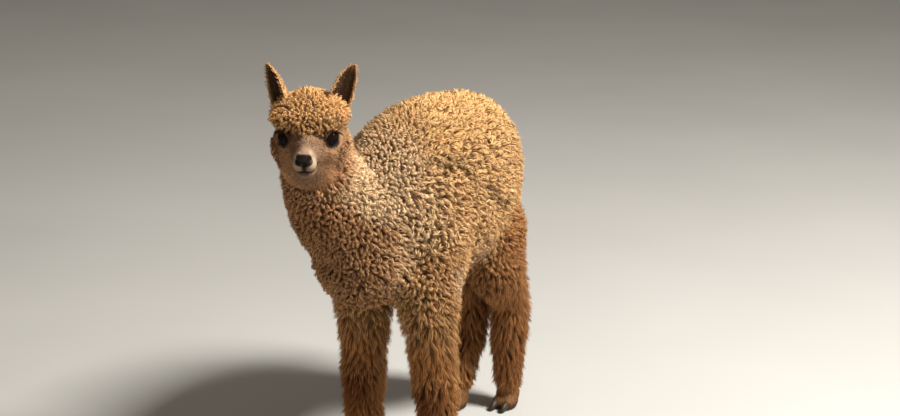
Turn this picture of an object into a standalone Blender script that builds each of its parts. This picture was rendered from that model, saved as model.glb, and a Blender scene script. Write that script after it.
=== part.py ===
"""A still, life-size model of a young huacaya alpaca, standing and looking to its left.

Metres, +Z up. The alpaca faces -Y and its left side is +X. It is built about a point between
its four feet, then moved so that the origin is on the floor below the middle of its overall
size. Every solid is the surface of the coat, out to the tips of the fleece. The body is fused
from lofts and ellipsoids, then parted into named pieces by thin cuts.
"""

import math

import bmesh
import bpy
import numpy as np
from mathutils import Matrix, Vector

GAP = 0.0004  # clear space left by every cut between two pieces

# Trunk
BACK_HEIGHT = 0.763
BELLY_HEIGHT = 0.355
BARREL_HALF_WIDTH = 0.152
RUMP_Y = 0.192  # the last full section of the rump
BREAST_Y = -0.389  # the front of the breast

# Head, in its own frame: origin midway between the eyes, -y forward, +x left, +z up
EYE_MIDPOINT = Vector((-0.027, -0.458, 0.756))
HEAD_TURN = math.radians(27)
HEAD_DROP = math.radians(15)
EYE_SPACING = 0.084  # between the middles of the globes
EYE_RADIUS = 0.0165
EAR_LENGTH = 0.094
EAR_HALF_WIDTH = 0.024
EAR_THICKNESS = 0.006
EAR_OUTWARD = {"left": 14, "right": 38}  # degrees that each ear's opening is turned outward

# Legs: where each foot stands, and the joints above it
FORE_FEET = {"left": Vector((0.092, -0.178, 0)), "right": Vector((-0.088, -0.176, 0))}
HIND_FEET = {"left": Vector((0.050, 0.215, 0)), "right": Vector((-0.048, 0.155, 0))}
HOCKS = {"left": Vector((0.050, 0.222, 0.255)), "right": Vector((-0.050, 0.232, 0.250))}
KNEE_HEIGHT = 0.205
CUFF_HEIGHT = 0.046  # where the leg wool ends above the foot
TOE_SPACING = 0.027
TOE_HALF_LENGTH = 0.030

FLEECE = ((0.62, 0.38, 0.17), 0.9)
SHORT_COAT = ((0.52, 0.33, 0.18), 0.85)
HORN = ((0.05, 0.035, 0.03), 0.4)
EYE = ((0.012, 0.008, 0.006), 0.1)


def clear_scene():
    for obj in list(bpy.data.objects):
        bpy.data.objects.remove(obj, do_unlink=True)


def material(name, finish):
    """A plain Principled material, made once for each name."""
    found = bpy.data.materials.get(name)
    if found:
        return found
    colour, roughness = finish
    made = bpy.data.materials.new(name)
    made.use_nodes = True
    shader = made.node_tree.nodes["Principled BSDF"]
    shader.inputs["Base Color"].default_value = (*colour, 1)
    shader.inputs["Roughness"].default_value = roughness
    return made


def object_of(name, bm):
    """A new object in the scene that holds this bmesh."""
    mesh = bpy.data.meshes.new(name)
    bm.to_mesh(mesh)
    bm.free()
    obj = bpy.data.objects.new(name, mesh)
    bpy.context.scene.collection.objects.link(obj)
    return obj


def evaluated_bmesh(obj):
    """The object's mesh with its modifiers and its place in the world applied."""
    bpy.context.view_layer.update()
    graph = bpy.context.evaluated_depsgraph_get()
    bm = bmesh.new()
    bm.from_object(obj, graph)
    bm.transform(obj.matrix_world)
    return bm


def smooth_rows(rows, steps):
    """Rows of numbers resampled on a Catmull-Rom curve, steps to each stretch."""
    rows = np.array(rows, float)
    padded = np.vstack([2 * rows[0] - rows[1], rows, 2 * rows[-1] - rows[-2]])
    found = []
    for i in range(1, len(padded) - 2):
        a, b, c, d = padded[i - 1 : i + 3]
        for t in np.arange(steps) / steps:
            found.append(
                0.5
                * (
                    2 * b
                    + (c - a) * t
                    + (2 * a - 5 * b + 4 * c - d) * t**2
                    + (3 * b - a - 3 * c + d) * t**3
                )
            )
    found.append(rows[-1])
    return np.array(found)


def loft(name, stations, sides=28, steps=5, dome=0.6, dome_angles=(75, 50, 25), corner=1.0):
    """A closed body through elliptical sections, with domed ends.

    A station is (x, y, z, half width along X, half depth across the path). The sections stand
    square to the path. The dome angles are the rings that round off an end. A corner below 1
    makes the sections squarer.
    """
    rows = smooth_rows(stations, steps)
    path, half_width, half_depth = rows[:, :3], rows[:, 3], rows[:, 4]
    tangents = np.gradient(path, axis=0)
    tangents /= np.linalg.norm(tangents, axis=1)[:, None]
    rings = []
    for angle in map(math.radians, dome_angles):
        rings.append((0, -math.sin(angle), math.cos(angle)))
    rings += [(i, 0, 1) for i in range(len(path))]
    for angle in map(math.radians, dome_angles[::-1]):
        rings.append((-1, math.sin(angle), math.cos(angle)))
    bm = bmesh.new()
    loops = []
    for index, ahead, shrink in rings:
        tangent = tangents[index]
        across = np.array((1.0, 0, 0)) - tangent[0] * tangent
        across /= np.linalg.norm(across)
        deep = np.cross(tangent, across)
        centre = path[index] + tangent * ahead * dome * min(half_width[index], half_depth[index])
        loop = []
        for k in range(sides):
            turn = 2 * math.pi * (k + 0.5) / sides
            wide = math.copysign(abs(math.cos(turn)) ** corner, math.cos(turn))
            tall = math.copysign(abs(math.sin(turn)) ** corner, math.sin(turn))
            point = (
                centre
                + across * wide * half_width[index] * shrink
                + deep * tall * half_depth[index] * shrink
            )
            loop.append(bm.verts.new(point))
        loops.append(loop)
    for first, second in zip(loops, loops[1:]):
        for k in range(sides):
            after = (k + 1) % sides
            bm.faces.new((first[k], first[after], second[after], second[k]))
    bm.faces.new(loops[0][::-1])
    bm.faces.new(loops[-1])
    bmesh.ops.recalc_face_normals(bm, faces=bm.faces)
    return object_of(name, bm)


def ellipsoid(name, centre, radii, frame=Matrix.Identity(4), segments=24):
    """An ellipsoid whose centre and radii are in the given frame."""
    bm = bmesh.new()
    bmesh.ops.create_uvsphere(bm, u_segments=segments, v_segments=segments // 2, radius=1)
    bm.transform(frame @ Matrix.Translation(centre) @ Matrix.Diagonal((*radii, 1)))
    return object_of(name, bm)


def box(name, low, high, frame=Matrix.Identity(4)):
    """A box between two corners in the given frame."""
    low, high = Vector(low), Vector(high)
    bm = bmesh.new()
    bmesh.ops.create_cube(bm, size=1)
    bm.transform(frame @ Matrix.Translation((low + high) / 2) @ Matrix.Diagonal((*(high - low), 1)))
    return object_of(name, bm)


def fused(name, pieces, voxel, smoothing, triangles):
    """One closed skin round all the pieces, smoothed where they meet. The pieces are removed."""
    bm = bmesh.new()
    for piece in pieces:
        part = evaluated_bmesh(piece)
        mesh = bpy.data.meshes.new("part")
        part.to_mesh(mesh)
        part.free()
        bm.from_mesh(mesh)
        bpy.data.meshes.remove(mesh)
        bpy.data.objects.remove(piece, do_unlink=True)
    obj = object_of(name, bm)
    remesh = obj.modifiers.new("Remesh", "REMESH")
    remesh.mode = "VOXEL"
    remesh.voxel_size = voxel
    smooth = obj.modifiers.new("Smooth", "SMOOTH")
    smooth.factor = 0.5
    smooth.iterations = smoothing
    baked(obj)
    decimate = obj.modifiers.new("Decimate", "DECIMATE")
    decimate.ratio = min(1.0, triangles / (2 * len(obj.data.polygons)))
    baked(obj)
    return obj


def baked(obj):
    """Applies the modifiers to the object's own mesh, in place."""
    bm = evaluated_bmesh(obj)
    bmesh.ops.triangulate(bm, faces=bm.faces)
    obj.modifiers.clear()
    obj.matrix_world = Matrix.Identity(4)
    bm.to_mesh(obj.data)
    bm.free()


def copied(obj, name):
    made = obj.copy()
    made.data = obj.data.copy()
    made.name = name
    bpy.context.scene.collection.objects.link(made)
    return made


def boolean(obj, other, operation):
    """Joins, cuts or keeps what the object shares with another, and applies it."""
    modifier = obj.modifiers.new(operation, "BOOLEAN")
    modifier.operation = operation
    modifier.object = other
    baked(obj)


def grown(obj, spare):
    """A copy of a solid, bigger all round by spare."""
    made = copied(obj, "grown")
    displace = made.modifiers.new("Displace", "DISPLACE")
    displace.strength = spare
    displace.mid_level = 0
    baked(made)
    return made


def cut_from(obj, cutter):
    """Cuts a solid away and removes it from the scene."""
    boolean(obj, cutter, "DIFFERENCE")
    bpy.data.objects.remove(cutter, do_unlink=True)


def parted(whole, name, region, wider):
    """Takes the piece of the whole inside region, and cuts the wider region from the whole."""
    piece = copied(whole, name)
    boolean(piece, region, "INTERSECT")
    boolean(whole, wider, "DIFFERENCE")
    bpy.data.objects.remove(region, do_unlink=True)
    bpy.data.objects.remove(wider, do_unlink=True)
    return piece


def head_frame():
    """From the head's own frame to the world."""
    turn = Matrix.Rotation(HEAD_TURN, 4, "Z") @ Matrix.Rotation(HEAD_DROP, 4, "X")
    return Matrix.Translation(EYE_MIDPOINT) @ turn


def neck_loft(name):
    """The neck, from inside the shoulders to inside the skull. It swings a little to the right."""
    return loft(
        name,
        [
            (0.000, -0.130, 0.555, 0.118, 0.166),
            (-0.014, -0.222, 0.550, 0.118, 0.148),
            (-0.034, -0.297, 0.566, 0.108, 0.125),
            (-0.049, -0.352, 0.613, 0.091, 0.101),
            (-0.056, -0.380, 0.674, 0.077, 0.085),
            (-0.056, -0.392, 0.735, 0.068, 0.076),
        ],
    )


def body_pieces():
    """The lofts and masses of trunk, neck and upper legs."""
    middle = (BACK_HEIGHT + BELLY_HEIGHT) / 2
    depth = (BACK_HEIGHT - BELLY_HEIGHT) / 2
    width = BARREL_HALF_WIDTH
    trunk = loft(
        "trunk",
        [
            (0, -0.245, middle - 0.028, width * 0.74, depth * 0.80),
            (0, -0.170, middle - 0.010, width * 0.91, depth * 0.96),
            (0, -0.080, middle + 0.001, width * 0.98, depth),
            (0, 0.020, middle + 0.005, width, depth * 0.96),
            (0, RUMP_Y - 0.100, middle + 0.003, width * 0.90, depth * 0.91),
            (0, RUMP_Y - 0.042, middle - 0.004, width * 0.78, depth * 0.82),
            (0, RUMP_Y, middle - 0.012, width * 0.62, depth * 0.66),
        ],
        sides=36,
        dome=0.4,
    )
    breast = (-0.022, BREAST_Y + 0.112, 0.488)
    pieces = [trunk, neck_loft("neck"), ellipsoid("breast", breast, (0.106, 0.112, 0.125))]
    for side in (1, -1):
        pieces.append(ellipsoid("shoulder", (0.076 * side, -0.165, 0.490), (0.072, 0.100, 0.150)))
        pieces.append(ellipsoid("haunch", (0.054 * side, 0.105, 0.480), (0.068, 0.098, 0.160)))
    for side in ("left", "right"):
        pieces += [fore_leg(side), hind_leg(side)]
    return pieces


def fore_leg(side):
    """A front leg's wool, from the elbow to the cuff."""
    x, y, _ = FORE_FEET[side]
    return loft(
        "fore_leg",
        [
            (x * 0.84, y - 0.015, 0.430, 0.064, 0.088),
            (x * 0.87, y - 0.010, 0.350, 0.060, 0.074),
            (x * 0.91, y - 0.006, 0.290, 0.056, 0.060),
            (x * 0.97, y - 0.002, KNEE_HEIGHT, 0.050, 0.052),
            (x, y, 0.140, 0.043, 0.046),
            (x, y + 0.002, 0.085, 0.041, 0.043),
            (x, y + 0.002, CUFF_HEIGHT + 0.012, 0.040, 0.041),
        ],
        dome=0.3,
    )


def hind_leg(side):
    """A back leg's wool, from the stifle over the hock to the cuff."""
    foot, hock = HIND_FEET[side], HOCKS[side]
    sign = 1 if side == "left" else -1
    shank = foot - hock
    return loft(
        "hind_leg",
        [
            (0.070 * sign, hock.y - 0.118, 0.450, 0.064, 0.103),
            (0.065 * sign, hock.y - 0.094, 0.365, 0.057, 0.082),
            (0.059 * sign, hock.y - 0.038, 0.305, 0.050, 0.060),
            (hock.x, hock.y, hock.z, 0.044, 0.049),
            (hock.x + shank.x * 0.2, hock.y + shank.y * 0.18, 0.175, 0.042, 0.045),
            (hock.x + shank.x * 0.6, hock.y + shank.y * 0.56, 0.100, 0.034, 0.038),
            (foot.x, foot.y + 0.002, CUFF_HEIGHT + 0.010, 0.029, 0.031),
        ],
        dome=0.3,
    )


def head_pieces():
    """The woolly head round a bare, blunt muzzle."""
    frame = head_frame()
    muzzle = loft(
        "muzzle",
        [
            (0, 0.030, -0.018, 0.056, 0.054),
            (0, -0.010, -0.016, 0.045, 0.046),
            (0, -0.042, -0.014, 0.032, 0.035),
            (0, -0.066, -0.013, 0.0250, 0.028),
            (0, -0.080, -0.013, 0.0225, 0.025),
        ],
        dome=0.28,
    )
    muzzle.matrix_world = frame
    pieces = [
        muzzle,
        neck_loft("nape"),
        ellipsoid("crown", (0, 0.045, 0.022), (0.080, 0.074, 0.051), frame),
        ellipsoid("fringe", (0, -0.002, 0.030), (0.084, 0.040, 0.027), frame),
        ellipsoid("chin", (0, -0.054, -0.034), (0.019, 0.020, 0.016), frame),
        ellipsoid("jaw", (0, 0.022, -0.070), (0.062, 0.058, 0.050), frame),
    ]
    for side in (1, -1):
        pieces.append(ellipsoid("cheek", (0.033 * side, 0.032, -0.032), (0.041, 0.054, 0.056), frame))
    return pieces


def ear_sheet(name, side):
    """A cupped, pointed ear that opens forward and outward."""
    frame = head_frame()
    sign = 1 if side == "left" else -1
    base = Vector((0.053 * sign, 0.062, 0.048))
    tip = Vector((0.086 * sign, 0.084, 0.114))
    along = (tip - base).normalized()
    base -= along * (EAR_LENGTH - (tip - base).length)
    outward = math.radians(EAR_OUTWARD[side])
    opening = Vector((math.sin(outward) * sign, -math.cos(outward), 0.0))
    opening = (opening - along * opening.dot(along)).normalized()
    across = along.cross(opening)
    rings, points = 9, 9
    bm = bmesh.new()
    grid = []
    for i in range(rings):
        u = i / (rings - 1) * 0.985
        half_width = EAR_HALF_WIDTH * (0.92 + 0.45 * u) * (1 - u**2) ** 0.75
        curl = math.radians(105 - 62 * u)  # half the arc that the section covers
        radius = half_width / math.sin(min(curl, math.pi / 2))
        centre = base + along * EAR_LENGTH * u
        row = []
        for k in range(points):
            angle = curl * (2 * k / (points - 1) - 1)
            offset = across * math.sin(angle) * radius - opening * (math.cos(angle) - 0.55) * radius
            row.append(bm.verts.new(frame @ (centre + offset)))
        grid.append(row)
    for first, second in zip(grid, grid[1:]):
        for k in range(points - 1):
            bm.faces.new((first[k], first[k + 1], second[k + 1], second[k]))
    sheet = object_of(name, bm)
    solid = sheet.modifiers.new("Solidify", "SOLIDIFY")
    solid.thickness = EAR_THICKNESS
    solid.offset = 0
    return sheet


def eye(name, side, spare=0.0):
    sign = 1 if side == "left" else -1
    radius = EYE_RADIUS + spare
    return ellipsoid(name, (EYE_SPACING / 2 * sign, 0, 0), (radius,) * 3, head_frame(), 20)


def foot(name, place):
    """Two flat-soled toes under a short pastern."""
    frame = Matrix.Translation(place)
    pieces = []
    for side in (1, -1):
        centre = (TOE_SPACING / 2 * side, -0.012, 0.013)
        pieces.append(ellipsoid("toe", centre, (0.0135, TOE_HALF_LENGTH, 0.0165), frame))
    pastern = loft(
        "pastern",
        [(0, 0.004, 0.062, 0.026, 0.027), (0, 0.004, 0.040, 0.026, 0.026), (0, 0.002, 0.022, 0.024, 0.024)],
        dome=0.3,
    )
    pastern.matrix_world = frame
    pieces.append(pastern)
    made = fused(name, pieces, 0.0026, 3, 260)
    cut_from(made, box("sole", (-1, -1, -0.1), (1, 1, 0)))
    cut_from(made, box("top", (-1, -1, CUFF_HEIGHT), (1, 1, 1)))
    return made


def nail(name, place, side, spare=0.0):
    """A horny nail over the end of one toe."""
    x = place.x + TOE_SPACING / 2 * side
    made = loft(
        name,
        [
            (x, place.y - 0.030, 0.0150, 0.0075 + spare, 0.0095 + spare),
            (x, place.y - 0.038, 0.0125, 0.0072 + spare, 0.0090 + spare),
            (x, place.y - 0.045, 0.0095, 0.0058 + spare, 0.0070 + spare),
            (x, place.y - 0.050, 0.0070, 0.0035 + spare, 0.0040 + spare),
        ],
        sides=8,
        steps=1,
        dome_angles=(45,),
    )
    cut_from(made, box("sole", (-1, -1, -0.1), (1, 1, 0)))
    return made


def limb_region(place, spare=0.0):
    """A rounded column round one upper leg, up into the trunk."""
    x, y, half_width, half_depth = place
    return loft(
        "region",
        [
            (x, y, 0.120, half_width + spare, half_depth + spare),
            (x, y, 0.300, half_width + spare, half_depth + spare),
            (x, y, 0.400, half_width + spare, half_depth + spare),
            (x, y, 0.455, (half_width + spare) * 0.88, (half_depth + spare) * 0.88),
        ],
        sides=16,
        steps=1,
        dome=0.7,
        dome_angles=(60, 30),
        corner=0.6,
    )


def tilted(point, normal):
    """A frame at this point whose +Z is the given direction, leaning in the YZ plane."""
    return Matrix.Translation(point) @ Vector(normal).to_track_quat("Z", "X").to_matrix().to_4x4()


def finished(obj, name, finish_name, finish, collection):
    obj.name = name
    obj.data.name = name
    obj.data.materials.clear()
    obj.data.materials.append(material(finish_name, finish))
    for holder in list(obj.users_collection):
        holder.objects.unlink(obj)
    collection.objects.link(obj)


def centre_on_floor(objects):
    """Moves everything so that the middle of the overall size is over the origin."""
    corners = [Vector(corner) for obj in objects for corner in obj.bound_box]
    middle_x = (min(c.x for c in corners) + max(c.x for c in corners)) / 2
    middle_y = (min(c.y for c in corners) + max(c.y for c in corners)) / 2
    for obj in objects:
        obj.data.transform(Matrix.Translation((-middle_x, -middle_y, 0)))


def main():
    clear_scene()
    body = fused("body", body_pieces(), 0.007, 12, 3000)
    head = fused("head", head_pieces(), 0.0035, 9, 1900)
    nodes = {}

    skull_base = tilted((-0.047, -0.377, 0.690), (0.15, -0.55, 0.82))
    cut_from(head, box("behind", (-1, -1, -1), (1, 1, GAP / 2), skull_base))
    cut_from(body, box("ahead", (-1, -1, -GAP / 2), (1, 1, 1), skull_base))
    cut_from(body, box("below", (-1, -1, -1), (1, 1, CUFF_HEIGHT + GAP)))
    shoulders = tilted((0, -0.262, 0.580), (-0.15, -0.80, 0.58))
    region = box("region", (-1, -1, GAP / 2), (1, 1, 1), shoulders)
    wider = box("wider", (-1, -1, -GAP / 2), (1, 1, 1), shoulders)
    nodes["neck"] = parted(body, "neck", region, wider)

    for side, sign in (("left", 1), ("right", -1)):
        fore, hind = FORE_FEET[side], HIND_FEET[side]
        for end, joint, near, far in (
            ("front", KNEE_HEIGHT, -0.4, 0),
            ("back", HOCKS[side].z - 0.01, 0, 0.6),
        ):
            low, high = sorted((0, 0.3 * sign))
            region = box("region", (low, near, 0), (high, far, joint - GAP))
            wider = box("wider", (low, near, -0.1), (high, far, joint))
            nodes[f"leg_{end}_{side}_lower"] = parted(body, "piece", region, wider)
        for end, place in (
            ("front", (0.090 * sign, fore.y - 0.005, 0.082, 0.094)),
            ("back", (0.084 * sign, 0.165, 0.082, 0.135)),
        ):
            piece = parted(body, "piece", limb_region(place), limb_region(place, GAP))
            nodes[f"leg_{end}_{side}_upper"] = piece
        for end, place in (("front", fore), ("back", hind)):
            made = foot("foot", place)
            nodes[f"foot_{end}_{side}"] = made
            for toe, toe_side in (("outer", sign), ("inner", -sign)):
                cut_from(made, nail("cutter", place, toe_side, GAP))
                nodes[f"nail_{end}_{side}_{toe}"] = nail("nail", place, toe_side)

    for side in ("left", "right"):
        ear = ear_sheet("ear", side)
        baked(ear)
        cut_from(ear, grown(head, GAP))
        nodes[f"ear_{side}"] = ear
    for side in ("left", "right"):
        cut_from(head, eye("socket", side, GAP))
        nodes[f"eye_{side}"] = eye("eye", side)
    nodes["head"] = head
    tail = loft(
        "tail",
        [
            (0, RUMP_Y + 0.005, 0.640, 0.032, 0.028),
            (0, RUMP_Y + 0.044, 0.600, 0.036, 0.028),
            (0, RUMP_Y + 0.058, 0.545, 0.035, 0.026),
            (0, RUMP_Y + 0.056, 0.490, 0.028, 0.022),
            (0, RUMP_Y + 0.052, 0.460, 0.017, 0.015),
        ],
        sides=12,
        steps=2,
        dome_angles=(45,),
    )
    cut_from(tail, grown(body, GAP))
    nodes["tail"] = tail
    nodes["trunk"] = body

    alpaca = bpy.data.collections.new("alpaca")
    bpy.context.scene.collection.children.link(alpaca)
    for name, obj in nodes.items():
        kind = name.split("_")[0]
        finish_name, finish = {
            "nail": ("horn", HORN),
            "eye": ("eye", EYE),
            "foot": ("short_coat", SHORT_COAT),
            "ear": ("short_coat", SHORT_COAT),
        }.get(kind, ("fleece", FLEECE))
        finished(obj, name, finish_name, finish, alpaca)
    centre_on_floor(nodes.values())


main()
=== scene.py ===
import math

import bmesh
import bpy
import numpy as np
from mathutils import Matrix, Vector
from mathutils.bvhtree import BVHTree
from mathutils.kdtree import KDTree

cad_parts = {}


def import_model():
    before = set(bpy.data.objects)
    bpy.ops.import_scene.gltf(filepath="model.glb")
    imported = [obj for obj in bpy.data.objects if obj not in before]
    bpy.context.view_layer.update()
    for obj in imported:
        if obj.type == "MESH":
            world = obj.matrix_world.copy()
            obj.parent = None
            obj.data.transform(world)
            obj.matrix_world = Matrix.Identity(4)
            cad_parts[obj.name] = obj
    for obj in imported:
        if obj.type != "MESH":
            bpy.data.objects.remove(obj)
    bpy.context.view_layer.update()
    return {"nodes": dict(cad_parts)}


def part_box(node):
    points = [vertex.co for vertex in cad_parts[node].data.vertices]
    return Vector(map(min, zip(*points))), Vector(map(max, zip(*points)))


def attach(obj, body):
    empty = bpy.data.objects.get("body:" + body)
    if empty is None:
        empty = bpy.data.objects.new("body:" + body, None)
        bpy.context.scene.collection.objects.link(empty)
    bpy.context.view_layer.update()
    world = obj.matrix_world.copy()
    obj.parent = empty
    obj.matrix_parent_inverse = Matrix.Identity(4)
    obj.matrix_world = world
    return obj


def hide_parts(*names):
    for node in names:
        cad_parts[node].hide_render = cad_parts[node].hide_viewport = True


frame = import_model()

RNG = np.random.default_rng(417)
THIN = 1

LEGS = [f"{end}_{side}" for end in ("front", "back") for side in ("left", "right")]
FLESH = ["head", "neck", "trunk", "tail"]
FLESH += [f"leg_{leg}_{part}" for leg in LEGS for part in ("upper", "lower")] + [f"foot_{leg}" for leg in LEGS]
KINDS = ("head", "neck", "trunk", "tail", "upper", "lower", "foot")
HEAD, NECK, TRUNK, TAIL, UPPER, LOWER, FOOT = range(7)


# ---- small tools
def unit(v):
    return v / np.maximum(np.linalg.norm(v, axis=-1, keepdims=True), 1e-12)


def ease(x, low, high):
    """0 below low, 1 above high, smooth between. low may be above high."""
    t = np.clip((np.asarray(x, float) - low) / (high - low), 0, 1)
    return t * t * (3 - 2 * t)


def mixed(a, b, share):
    share = np.asarray(share)
    if share.ndim and np.ndim(a) > 0 and np.shape(a)[-1:] == (3,) and share.shape[-1:] != (1,):
        share = share[..., None]
    return a + (b - a) * share


def noise(points, scale, seed):
    """Smooth value noise from -1 to 1."""
    q = points * scale
    cell = np.floor(q).astype(np.int64)
    f = q - cell
    f = f * f * (3 - 2 * f)
    total = np.zeros(len(q))
    for corner in range(8):
        step = np.array([corner & 1, corner >> 1 & 1, corner >> 2 & 1])
        c = cell + step
        h = (c[:, 0] * 73856093 ^ c[:, 1] * 19349663 ^ c[:, 2] * 83492791 ^ seed * 668265263) & 0xFFFFFFFF
        h = ((h ^ (h >> 13)) * 1274126177) & 0xFFFFFFFF
        total += ((h ^ (h >> 16)) & 0xFFFF) / 65535 * np.prod(np.where(step, f, 1 - f), axis=1)
    return total * 2 - 1


def middle(node):
    low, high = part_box(node)
    return np.array((low + high) / 2)


# ---- the head's own frame: origin between the eyes, face towards -y, the animal's left +x
EYE_LEFT, EYE_RIGHT = middle("eye_left"), middle("eye_right")
EYE_RADIUS = (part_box("eye_left")[1].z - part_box("eye_left")[0].z) / 2
EYE_MIDDLE = (EYE_LEFT + EYE_RIGHT) / 2
EYE_REACH = np.linalg.norm(EYE_LEFT - EYE_RIGHT) / 2
HEAD_TURN = math.atan2(EYE_LEFT[1] - EYE_RIGHT[1], EYE_LEFT[0] - EYE_RIGHT[0])
HEAD_DROP = math.radians(15)
HEAD_AXES = np.array(Matrix.Rotation(HEAD_TURN, 3, "Z") @ Matrix.Rotation(HEAD_DROP, 3, "X"))


def to_head(p):
    return (p - EYE_MIDDLE) @ HEAD_AXES


def from_head(p):
    return p @ HEAD_AXES.T + EYE_MIDDLE


# ---- distance fields for the bare head
def ball(p, centre, radii):
    q, r = p - centre, np.array(radii)
    k0, k1 = np.linalg.norm(q / r, axis=1), np.linalg.norm(q / r**2, axis=1)
    return k0 * (k0 - 1) / np.maximum(k1, 1e-9)


def rod(p, start, end, first, last):
    a, b = np.array(start), np.array(end)
    t = np.clip((p - a) @ (b - a) / ((b - a) @ (b - a)), 0, 1)
    return np.linalg.norm(p - a - t[:, None] * (b - a), axis=1) - (first + (last - first) * t)


def joined(a, b, soft):
    h = np.clip(0.5 + 0.5 * (b - a) / soft, 0, 1)
    return b * (1 - h) + a * h - soft * h * (1 - h)


def carved(a, b, soft):
    return -joined(-a, b, soft)


def mirrored(q):
    """Points in the head's frame, all moved to its left half."""
    return np.stack([np.abs(q[:, 0]), q[:, 1], q[:, 2]], 1)


MOUTH = [  # points along the lips
    (0, -0.0785, -0.0325), (0.0085, -0.0785, -0.033), (0.0165, -0.07, -0.0335), (0.021, -0.058, -0.0325),
    (0.0235, -0.048, -0.03),
]
FACE = [  # what is added to the skull: a shape, its measures, and how softly it joins
    (ball, (0, 0.045, 0.02), (0.066, 0.06, 0.037), 0.012),  # crown
    (ball, (0, 0.009, 0.036), (0.067, 0.026, 0.0125), 0.008),  # brow
    (ball, (0.033, 0.032, -0.032), (0.037, 0.05, 0.052), 0.01),  # cheek
    (ball, (0, 0.022, -0.069), (0.0575, 0.054, 0.046), 0.012),  # jaw
    (rod, (0.004, 0.06, -0.039), (0.004, 0.052, -0.16), 0.047, 0.056, 0.02),  # throat
    (rod, (0, -0.02, 0.012), (0, -0.066, 0.003), 0.01, 0.0088, 0.012),  # bridge of the nose
    (ball, (0.0098, -0.072, -0.0205), (0.0128, 0.014, 0.0135), 0.004),  # upper lip
    (ball, (0, -0.0745, -0.001), (0.0125, 0.0105, 0.0095), 0.005),  # nose
    (ball, (0.0085, -0.0765, 0.0005), (0.0062, 0.0062, 0.0068), 0.003),  # side of the nostril
    (ball, (0, -0.0665, -0.04), (0.015, 0.014, 0.009), 0.005),  # lower lip
    (ball, (0, -0.052, -0.04), (0.0195, 0.02, 0.015), 0.01),  # chin
    (ball, (EYE_REACH, 0, 0), (EYE_RADIUS + 0.0022,) * 3, 0.006),  # lids over the globe
]
GROOVES = [  # what is cut into it: rods, and how softly each one cuts
    ((0.0056, -0.0838, -0.0068), (0.0108, -0.0822, 0.0012), 0.0018, 0.003, 0.002),  # nostril
    ((0, -0.082, -0.01), (0, -0.079, -0.031), 0.0012, 0.0014, 0.0026),  # from nose to lip
]
GROOVES += [(a, b, 0.0013, 0.0013, 0.003) for a, b in zip(MOUTH, MOUTH[1:])]


def bare_head(p):
    """Signed distance to the face under the wool, in the head's frame. It is the same on both sides."""
    q = mirrored(p)
    flat = q * (1, 1, 1 / 1.08)
    d = rod(flat, (0, 0.03, -0.02), (0, -0.058, -0.013), 0.049, 0.0222)
    for shape, *measures, soft in FACE:
        d = joined(d, shape(q, *measures), soft)
    for *measures, soft in GROOVES:
        d = carved(d, rod(q, *measures), soft)
    return d


def onto_head(p, share):
    """Points near the bare head, moved to its surface wherever their share isn't 0."""
    some = share > 0
    out = to_head(p[some])
    step = 2e-4  # half the gap over which the field's slope is measured
    for _ in range(10):
        f = bare_head(out)
        rises = [bare_head(out + step * e) - bare_head(out - step * e) for e in np.eye(3)]
        slope = np.stack(rises, axis=1) / (2 * step)
        out -= slope * np.clip(0.8 * f / np.maximum((slope**2).sum(1), 0.5), -0.004, 0.004)[:, None]
    moved = p.copy()
    moved[some] = from_head(out)
    return moved


# ---- the eye's opening
EYE_OUT, EYE_DOWN = math.radians(47), math.radians(4)
OPEN_WIDE, OPEN_HIGH = math.radians(62), math.radians(60)


def eye_axes(sign):
    """Rows: along the opening's width (back and outward), upward, and the way the eye looks, in the head's frame."""
    flat = math.cos(EYE_DOWN)
    look = np.array([math.sin(EYE_OUT) * flat * sign, -math.cos(EYE_OUT) * flat, -math.sin(EYE_DOWN)])
    wide = unit(np.array([math.cos(EYE_OUT) * sign, math.sin(EYE_OUT), 0.06]))
    up = unit(np.cross(look, wide) * (1 if np.cross(look, wide)[2] > 0 else -1))
    wide = unit(wide - look * (wide @ look))
    return np.array([wide, up, look])


def opening(p, sign):
    """For points in the head's frame: distance from the globe's centre, a share that is 1 on the opening's edge and
    less inside it, and the point in the eye's own axes."""
    q = (p - (EYE_REACH * sign, 0, 0)) @ eye_axes(sign).T
    reach = np.linalg.norm(q, axis=1)
    angle = np.arccos(np.clip(q[:, 2] / np.maximum(reach, 1e-9), -1, 1))
    turn = np.arctan2(q[:, 1], q[:, 0])
    return reach, angle / opening_edge(turn), q


def opening_edge(turn):
    """How far the opening reaches from its middle, as an angle, in each direction: a rounded almond."""
    c, s = np.cos(turn), np.sin(turn)
    high = np.where(s > 0, OPEN_HIGH, OPEN_HIGH * 0.9)
    return (np.abs(c / OPEN_WIDE) ** 1.8 + np.abs(s / high) ** 1.8) ** (-1 / 1.8)


def eye_distance(q):
    """How far points in the head's frame are from the nearer globe's centre."""
    return np.minimum(opening(q, 1)[0], opening(q, -1)[0])


# ---- mesh plumbing
def add_object(name, data):
    made = bpy.data.objects.new(name, data)
    bpy.context.scene.collection.objects.link(made)
    return made


def as_mesh(bm, name):
    mesh = bpy.data.meshes.new(name)
    bm.to_mesh(mesh)
    bm.free()
    return mesh


def shaped(mesh, points):
    """Puts a mesh's points in place and makes its faces smooth."""
    mesh.vertices.foreach_set("co", points.astype(np.float32).ravel())
    mesh.polygons.foreach_set("use_smooth", np.ones(len(mesh.polygons), bool))


def mesh_from(name, points, corners, sizes):
    """A smooth mesh from its points, its faces' corners in one row, and each face's count of corners."""
    mesh = bpy.data.meshes.new(name)
    mesh.vertices.add(len(points))
    mesh.loops.add(len(corners))
    mesh.polygons.add(len(sizes))
    mesh.loops.foreach_set("vertex_index", corners)
    mesh.polygons.foreach_set("loop_start", np.concatenate([[0], np.cumsum(sizes)[:-1]]).astype(np.int32))
    shaped(mesh, points)
    mesh.update(calc_edges=True)
    return mesh


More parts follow.
